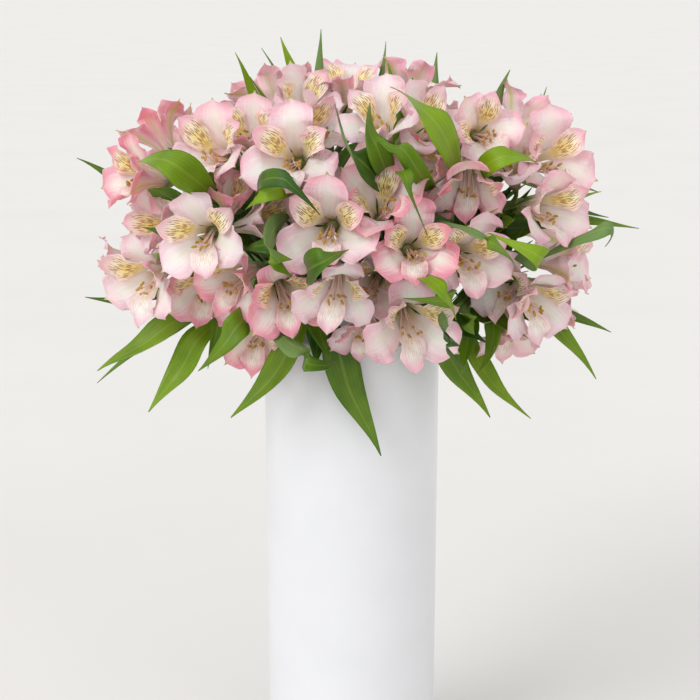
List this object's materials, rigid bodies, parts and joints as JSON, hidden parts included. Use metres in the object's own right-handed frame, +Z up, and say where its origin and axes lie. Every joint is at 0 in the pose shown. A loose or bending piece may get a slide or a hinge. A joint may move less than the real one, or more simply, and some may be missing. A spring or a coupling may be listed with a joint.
{
  "type": "alstroemeria bouquet in a vase",
  "caption": "Full bouquet of pale pink alstroemeria on leafy stems, standing in water in a tall plain white glazed cylindrical vase.",
  "frame": {"origin": "centre of the vase's foot, on the surface that it stands on", "axes": "+Z up, +X to the right and -Y to the front, the side that the fullest blooms face"},
  "size_m": [0.394, 0.31, 0.567],
  "materials": {
    "vase": "white satin-gloss glaze",
    "water": "clear water, stands in for a fill",
    "stem": "fresh green stems and leaves, soft sheen",
    "bloom": "pale pink petals with a white-green mid stripe, matt"
  },
  "bodies": {
    "root": {"bloom_back_left_1": "bloom", "bloom_back_left_2": "bloom", "bloom_back_left_4": "bloom", "bloom_back_left_5": "bloom", "bloom_back_left_6": "bloom", "bloom_back_right_1": "bloom", "bloom_back_right_2": "bloom", "bloom_back_right_4": "bloom", "bloom_back_right_5": "bloom", "bloom_back_right_6": "bloom", "bloom_back_right_7": "bloom", "bloom_front_left_1": "bloom", "bloom_front_left_3": "bloom", "bloom_front_left_4": "bloom", "bloom_front_left_5": "bloom", "bloom_front_left_6": "bloom", "bloom_front_right_1": "bloom", "bloom_front_right_3": "bloom", "bloom_front_right_4": "bloom", "bloom_front_right_5": "bloom", "bloom_front_right_6": "bloom", "bloom_left_high_1": "bloom", "bloom_left_high_3": "bloom", "bloom_left_high_4": "bloom", "bloom_left_high_5": "bloom", "bloom_left_high_6": "bloom", "bloom_left_low_1": "bloom", "bloom_left_low_2": "bloom", "bloom_left_low_3": "bloom", "bloom_left_low_4": "bloom", "bloom_left_low_5": "bloom", "bloom_right_high_1": "bloom", "bloom_right_high_3": "bloom", "bloom_right_high_4": "bloom", "bloom_right_high_5": "bloom", "bloom_right_low_1": "bloom", "bloom_right_low_2": "bloom", "bloom_right_low_3": "bloom", "bloom_right_low_5": "bloom", "bloom_right_low_6": "bloom", "bloom_top_left_1": "bloom", "bloom_top_left_2": "bloom", "bloom_top_left_4": "bloom", "bloom_top_left_5": "bloom", "bloom_top_right_1": "bloom", "bloom_top_right_2": "bloom", "bloom_top_right_3": "bloom", "bloom_top_right_4": "bloom", "stem_back_left": "stem", "stem_back_right": "stem", "stem_front_left": "stem", "stem_front_right": "stem", "stem_left_high": "stem", "stem_left_low": "stem", "stem_right_high": "stem", "stem_right_low": "stem", "stem_top_left": "stem", "stem_top_right": "stem", "vase": "vase", "water": "water"}
  },
  "joints": []
}
